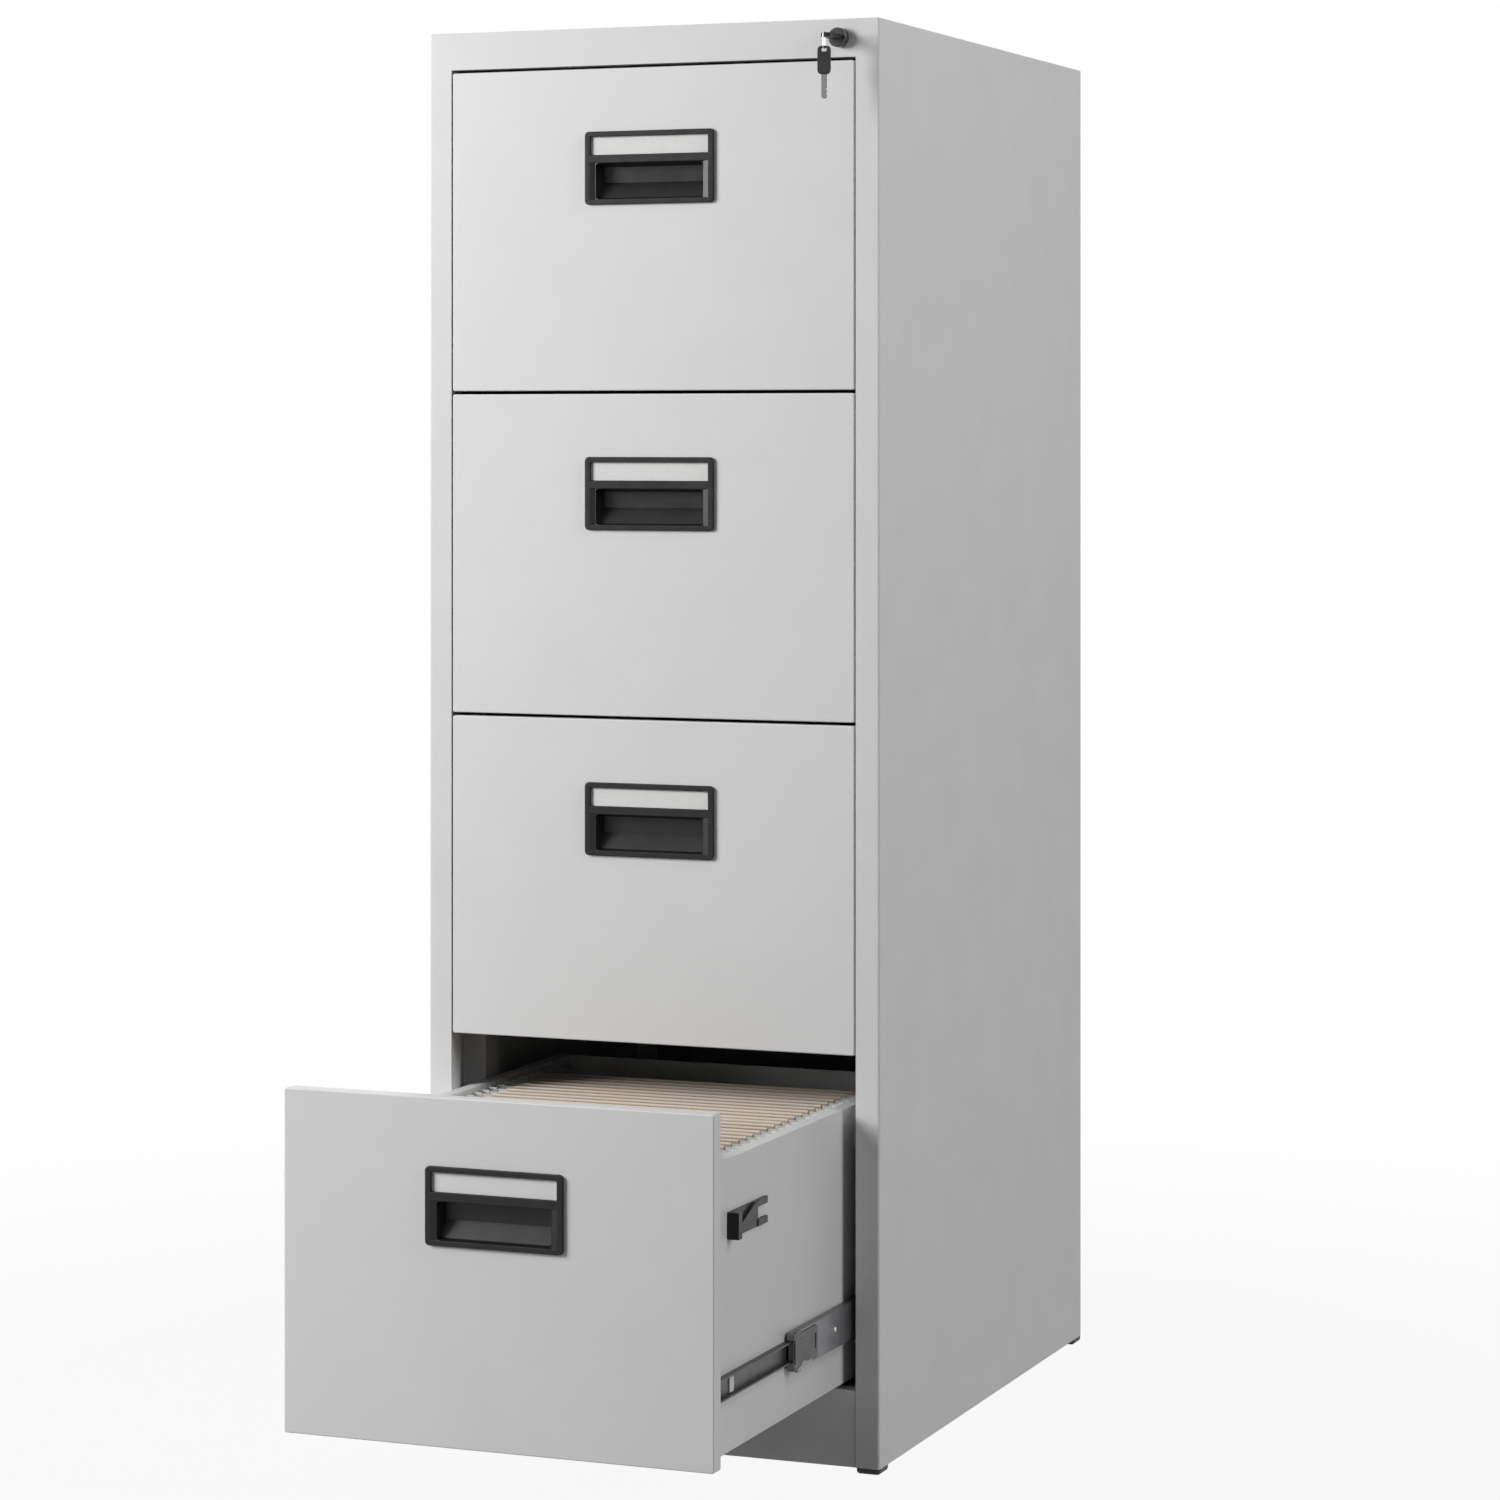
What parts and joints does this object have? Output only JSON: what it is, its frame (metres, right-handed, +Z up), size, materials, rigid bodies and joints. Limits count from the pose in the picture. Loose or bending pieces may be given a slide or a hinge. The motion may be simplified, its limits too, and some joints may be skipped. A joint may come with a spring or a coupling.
{
  "type": "filing cabinet",
  "caption": "Tall steel filing cabinet with full-extension drawers, recessed label grips and a key lock; the bottom drawer stands open with hanging folders.",
  "frame": {"origin": "on the floor, under the middle of the whole box with the bottom drawer open as stored", "axes": "+Z up; +X to the right as seen from the front; the drawer fronts face -Y"},
  "size_m": [0.455, 0.9632, 1.33],
  "materials": {
    "cabinet_paint": "light grey powder coat, fine satin",
    "drawer_paint": "light grey powder coat, fine satin",
    "black_plastic": "moulded ABS, satin",
    "foot_plastic": "moulded polyethylene, matt",
    "label_card": "uncoated card",
    "slide_steel": "cold-rolled, black zinc plated",
    "zinc_steel": "bright zinc plated",
    "lock_black": "die-cast zinc, black",
    "lock_nickel": "nickel plated, dulled",
    "key_nickel": "nickel plated",
    "folder_card": "tan kraft card",
    "rod_steel": "enamelled steel strip"
  },
  "bodies": {
    "cabinet": {"left_side_panel": "cabinet_paint", "right_side_panel": "cabinet_paint", "top_panel": "cabinet_paint", "back_panel": "cabinet_paint", "plinth": "cabinet_paint", "base_pan": "cabinet_paint", "feet": "foot_plastic", "slide_posts": "cabinet_paint", "slide_outer_members": "slide_steel", "slide_rivets": "zinc_steel", "lock_housing": "lock_black", "lock_nut": "zinc_steel", "lock_bar_guides": "black_plastic"},
    "drawer_1": {"drawer_1_front": "drawer_paint", "drawer_1_front_liner": "drawer_paint", "drawer_1_body": "drawer_paint", "drawer_1_hanging_rails": "drawer_paint", "drawer_1_grip": "black_plastic", "drawer_1_label_card": "label_card", "drawer_1_slide_inners": "slide_steel", "drawer_1_catch": "black_plastic"},
    "drawer_1_middles": {"drawer_1_slide_middles": "slide_steel"},
    "drawer_2": {"drawer_2_front": "drawer_paint", "drawer_2_front_liner": "drawer_paint", "drawer_2_body": "drawer_paint", "drawer_2_hanging_rails": "drawer_paint", "drawer_2_grip": "black_plastic", "drawer_2_label_card": "label_card", "drawer_2_slide_inners": "slide_steel", "drawer_2_catch": "black_plastic"},
    "drawer_2_middles": {"drawer_2_slide_middles": "slide_steel"},
    "drawer_3": {"drawer_3_front": "drawer_paint", "drawer_3_front_liner": "drawer_paint", "drawer_3_body": "drawer_paint", "drawer_3_hanging_rails": "drawer_paint", "drawer_3_grip": "black_plastic", "drawer_3_label_card": "label_card", "drawer_3_slide_inners": "slide_steel", "drawer_3_catch": "black_plastic"},
    "drawer_3_middles": {"drawer_3_slide_middles": "slide_steel"},
    "drawer_4": {"drawer_4_front": "drawer_paint", "drawer_4_front_liner": "drawer_paint", "drawer_4_body": "drawer_paint", "drawer_4_hanging_rails": "drawer_paint", "drawer_4_grip": "black_plastic", "drawer_4_label_card": "label_card", "drawer_4_slide_inners": "slide_steel", "drawer_4_catch": "black_plastic", "hanging_folders": "folder_card", "folder_rods": "rod_steel"},
    "drawer_4_middles": {"drawer_4_slide_middles": "slide_steel"},
    "lock_bar": {"lock_bar": "zinc_steel", "lock_bar_head": "zinc_steel", "lock_bar_hooks": "zinc_steel"},
    "lock_plug": {"lock_plug": "lock_nickel", "lock_cam": "zinc_steel"},
    "key": {"key_blade": "key_nickel", "key_bow": "black_plastic"},
    "key_link": {"key_link": "key_nickel"}
  },
  "joints": [
    {"name": "drawer_1_slide", "type": "slide", "parent": "cabinet", "child": "drawer_1", "axis": [0, -1, 0], "range_m": [0, 0.5]},
    {"name": "drawer_1_middle_slide", "type": "slide", "parent": "cabinet", "child": "drawer_1_middles", "axis": [0, -1, 0], "range_m": [0, 0.25]},
    {"name": "drawer_2_slide", "type": "slide", "parent": "cabinet", "child": "drawer_2", "axis": [0, -1, 0], "range_m": [0, 0.5]},
    {"name": "drawer_2_middle_slide", "type": "slide", "parent": "cabinet", "child": "drawer_2_middles", "axis": [0, -1, 0], "range_m": [0, 0.25]},
    {"name": "drawer_3_slide", "type": "slide", "parent": "cabinet", "child": "drawer_3", "axis": [0, -1, 0], "range_m": [0, 0.5]},
    {"name": "drawer_3_middle_slide", "type": "slide", "parent": "cabinet", "child": "drawer_3_middles", "axis": [0, -1, 0], "range_m": [0, 0.25]},
    {"name": "drawer_4_slide", "type": "slide", "parent": "cabinet", "child": "drawer_4", "axis": [0, -1, 0], "range_m": [-0.34, 0.16]},
    {"name": "drawer_4_middle_slide", "type": "slide", "parent": "cabinet", "child": "drawer_4_middles", "axis": [0, -1, 0], "range_m": [-0.17, 0.08]},
    {"name": "lock_bar_lift", "type": "slide", "parent": "cabinet", "child": "lock_bar", "axis": [0, 0, 1], "range_m": [0, 0.0113]},
    {"name": "lock_turn", "type": "hinge", "parent": "cabinet", "child": "lock_plug", "pos_m": [0.189, -0.1384, 1.3126], "axis": [0, -1, 0], "range_deg": [0, 90]},
    {"name": "key_pull", "type": "slide", "parent": "lock_plug", "child": "key", "axis": [0, -1, 0], "range_m": [0, 0.028]},
    {"name": "key_link_swing", "type": "hinge", "parent": "key", "child": "key_link", "pos_m": [0.1872, -0.1745, 1.3126], "axis": [0, -1, 0], "range_deg": [-10, 10]}
  ],
  "couplings": [
    {"joint": "drawer_1_middle_slide", "follows": "drawer_1_slide", "ratio": 0.5},
    {"joint": "drawer_2_middle_slide", "follows": "drawer_2_slide", "ratio": 0.5},
    {"joint": "drawer_3_middle_slide", "follows": "drawer_3_slide", "ratio": 0.5},
    {"joint": "drawer_4_middle_slide", "follows": "drawer_4_slide", "ratio": 0.5},
    {"joint": "lock_turn", "follows": "lock_bar_lift", "rad_per_m": 138.84}
  ]
}
